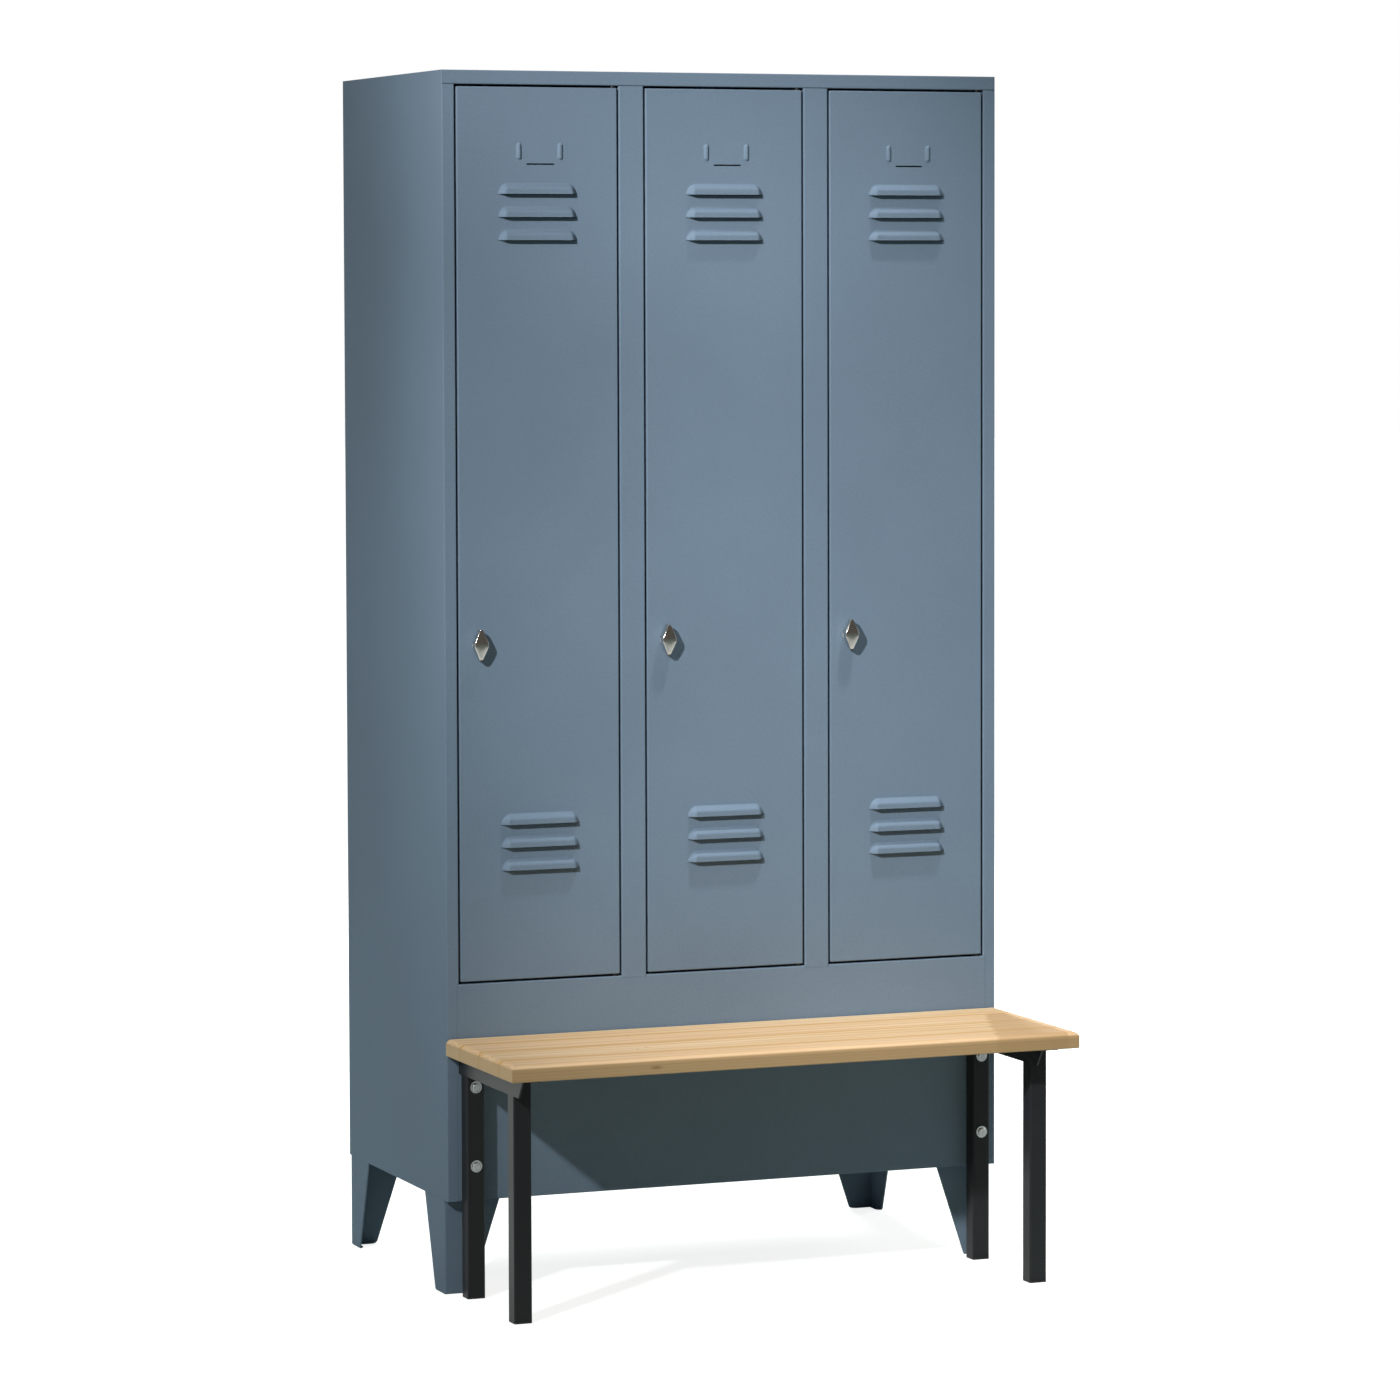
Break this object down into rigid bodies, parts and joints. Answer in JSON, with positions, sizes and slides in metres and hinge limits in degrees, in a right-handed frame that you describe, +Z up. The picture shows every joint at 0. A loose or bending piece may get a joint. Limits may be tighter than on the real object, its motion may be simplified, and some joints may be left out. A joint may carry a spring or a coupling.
{
  "type": "locker with bench",
  "caption": "Steel clothes locker with louvred swing doors and turn latches on folded feet, with a wooden seat bench bolted to its plinth.",
  "frame": {"origin": "on the floor, under the middle of the whole object with its bench", "axes": "+X to the viewer's right facing the doors, +Y towards the locker's back, +Z up; the doors face -Y"},
  "size_m": [0.916, 0.78, 1.85],
  "materials": {
    "back_panel": "grey-blue powder coat with a fine texture, satin",
    "bench_bolt_lower_left": "zinc plated",
    "bench_bolt_lower_right": "zinc plated",
    "bench_bolt_upper_left": "zinc plated",
    "bench_bolt_upper_right": "zinc plated",
    "bench_leg_front_left": "near-black powder coat, satin",
    "bench_leg_front_right": "near-black powder coat, satin",
    "bench_leg_rear_left": "near-black powder coat, satin",
    "bench_leg_rear_right": "near-black powder coat, satin",
    "bench_rail_left": "near-black powder coat, satin",
    "bench_rail_right": "near-black powder coat, satin",
    "cam_1": "zinc plated",
    "cam_2": "zinc plated",
    "cam_3": "zinc plated",
    "coat_rail_1": "zinc plated",
    "coat_rail_2": "zinc plated",
    "coat_rail_3": "zinc plated",
    "door_1": "grey-blue powder coat with a fine texture, satin",
    "door_2": "grey-blue powder coat with a fine texture, satin",
    "door_3": "grey-blue powder coat with a fine texture, satin",
    "floor_panel": "grey-blue powder coat with a fine texture, satin",
    "foot_front_left": "grey-blue powder coat with a fine texture, satin",
    "foot_front_right": "grey-blue powder coat with a fine texture, satin",
    "foot_rear_left": "grey-blue powder coat with a fine texture, satin",
    "foot_rear_right": "grey-blue powder coat with a fine texture, satin",
    "hat_shelf_1": "grey-blue powder coat with a fine texture, satin",
    "hat_shelf_2": "grey-blue powder coat with a fine texture, satin",
    "hat_shelf_3": "grey-blue powder coat with a fine texture, satin",
    "hinge_pin_lower_1": "dark oiled steel",
    "hinge_pin_lower_2": "dark oiled steel",
    "hinge_pin_lower_3": "dark oiled steel",
    "hinge_pin_upper_1": "dark oiled steel",
    "hinge_pin_upper_2": "dark oiled steel",
    "hinge_pin_upper_3": "dark oiled steel",
    "knob_1": "polished chrome plate",
    "knob_2": "polished chrome plate",
    "knob_3": "polished chrome plate",
    "leg_cap_front_left": "black moulded plastic",
    "leg_cap_front_right": "black moulded plastic",
    "leg_cap_rear_left": "black moulded plastic",
    "leg_cap_rear_right": "black moulded plastic",
    "lock_nut_1": "zinc plated",
    "lock_nut_2": "zinc plated",
    "lock_nut_3": "zinc plated",
    "middle_stile_1": "grey-blue powder coat with a fine texture, satin",
    "middle_stile_2": "grey-blue powder coat with a fine texture, satin",
    "partition_1": "grey-blue powder coat with a fine texture, satin",
    "partition_2": "grey-blue powder coat with a fine texture, satin",
    "plinth_panel": "grey-blue powder coat with a fine texture, satin",
    "seat_board": "glued pine staves, clear varnish",
    "seat_screw_front_left": "zinc plated",
    "seat_screw_front_right": "zinc plated",
    "seat_screw_rear_left": "zinc plated",
    "seat_screw_rear_right": "zinc plated",
    "side_panel_left": "grey-blue powder coat with a fine texture, satin",
    "side_panel_right": "grey-blue powder coat with a fine texture, satin",
    "top_panel": "grey-blue powder coat with a fine texture, satin"
  },
  "bodies": {
    "frame": {"back_panel": "back_panel", "bench_bolt_lower_left": "bench_bolt_lower_left", "bench_bolt_lower_right": "bench_bolt_lower_right", "bench_bolt_upper_left": "bench_bolt_upper_left", "bench_bolt_upper_right": "bench_bolt_upper_right", "bench_leg_front_left": "bench_leg_front_left", "bench_leg_front_right": "bench_leg_front_right", "bench_leg_rear_left": "bench_leg_rear_left", "bench_leg_rear_right": "bench_leg_rear_right", "bench_rail_left": "bench_rail_left", "bench_rail_right": "bench_rail_right", "coat_rail_1": "coat_rail_1", "coat_rail_2": "coat_rail_2", "coat_rail_3": "coat_rail_3", "floor_panel": "floor_panel", "foot_front_left": "foot_front_left", "foot_front_right": "foot_front_right", "foot_rear_left": "foot_rear_left", "foot_rear_right": "foot_rear_right", "hat_shelf_1": "hat_shelf_1", "hat_shelf_2": "hat_shelf_2", "hat_shelf_3": "hat_shelf_3", "hinge_pin_lower_1": "hinge_pin_lower_1", "hinge_pin_lower_2": "hinge_pin_lower_2", "hinge_pin_lower_3": "hinge_pin_lower_3", "hinge_pin_upper_1": "hinge_pin_upper_1", "hinge_pin_upper_2": "hinge_pin_upper_2", "hinge_pin_upper_3": "hinge_pin_upper_3", "leg_cap_front_left": "leg_cap_front_left", "leg_cap_front_right": "leg_cap_front_right", "leg_cap_rear_left": "leg_cap_rear_left", "leg_cap_rear_right": "leg_cap_rear_right", "middle_stile_1": "middle_stile_1", "middle_stile_2": "middle_stile_2", "partition_1": "partition_1", "partition_2": "partition_2", "plinth_panel": "plinth_panel", "seat_board": "seat_board", "seat_screw_front_left": "seat_screw_front_left", "seat_screw_front_right": "seat_screw_front_right", "seat_screw_rear_left": "seat_screw_rear_left", "seat_screw_rear_right": "seat_screw_rear_right", "side_panel_left": "side_panel_left", "side_panel_right": "side_panel_right", "top_panel": "top_panel"},
    "door_1": {"door_1": "door_1", "lock_nut_1": "lock_nut_1"},
    "latch_1": {"knob_1": "knob_1", "cam_1": "cam_1"},
    "door_2": {"door_2": "door_2", "lock_nut_2": "lock_nut_2"},
    "latch_2": {"knob_2": "knob_2", "cam_2": "cam_2"},
    "door_3": {"door_3": "door_3", "lock_nut_3": "lock_nut_3"},
    "latch_3": {"knob_3": "knob_3", "cam_3": "cam_3"}
  },
  "joints": [
    {"name": "door_1_hinge", "type": "hinge", "parent": "frame", "child": "door_1", "pos_m": [-0.18047, -0.0845, 1.15185], "axis": [0, 0, 1], "range_deg": [0, 110]},
    {"name": "latch_1_turn", "type": "hinge", "parent": "door_1", "child": "latch_1", "pos_m": [-0.4014, -0.09, 0.988], "axis": [0, -1, 0], "range_deg": [0, 90]},
    {"name": "door_2_hinge", "type": "hinge", "parent": "frame", "child": "door_2", "pos_m": [0.12287, -0.0845, 1.15185], "axis": [0, 0, 1], "range_deg": [0, 110]},
    {"name": "latch_2_turn", "type": "hinge", "parent": "door_2", "child": "latch_2", "pos_m": [-0.09807, -0.09, 0.988], "axis": [0, -1, 0], "range_deg": [0, 90]},
    {"name": "door_3_hinge", "type": "hinge", "parent": "frame", "child": "door_3", "pos_m": [0.4262, -0.0845, 1.15185], "axis": [0, 0, 1], "range_deg": [0, 110]},
    {"name": "latch_3_turn", "type": "hinge", "parent": "door_3", "child": "latch_3", "pos_m": [0.20527, -0.09, 0.988], "axis": [0, -1, 0], "range_deg": [0, 90]}
  ]
}
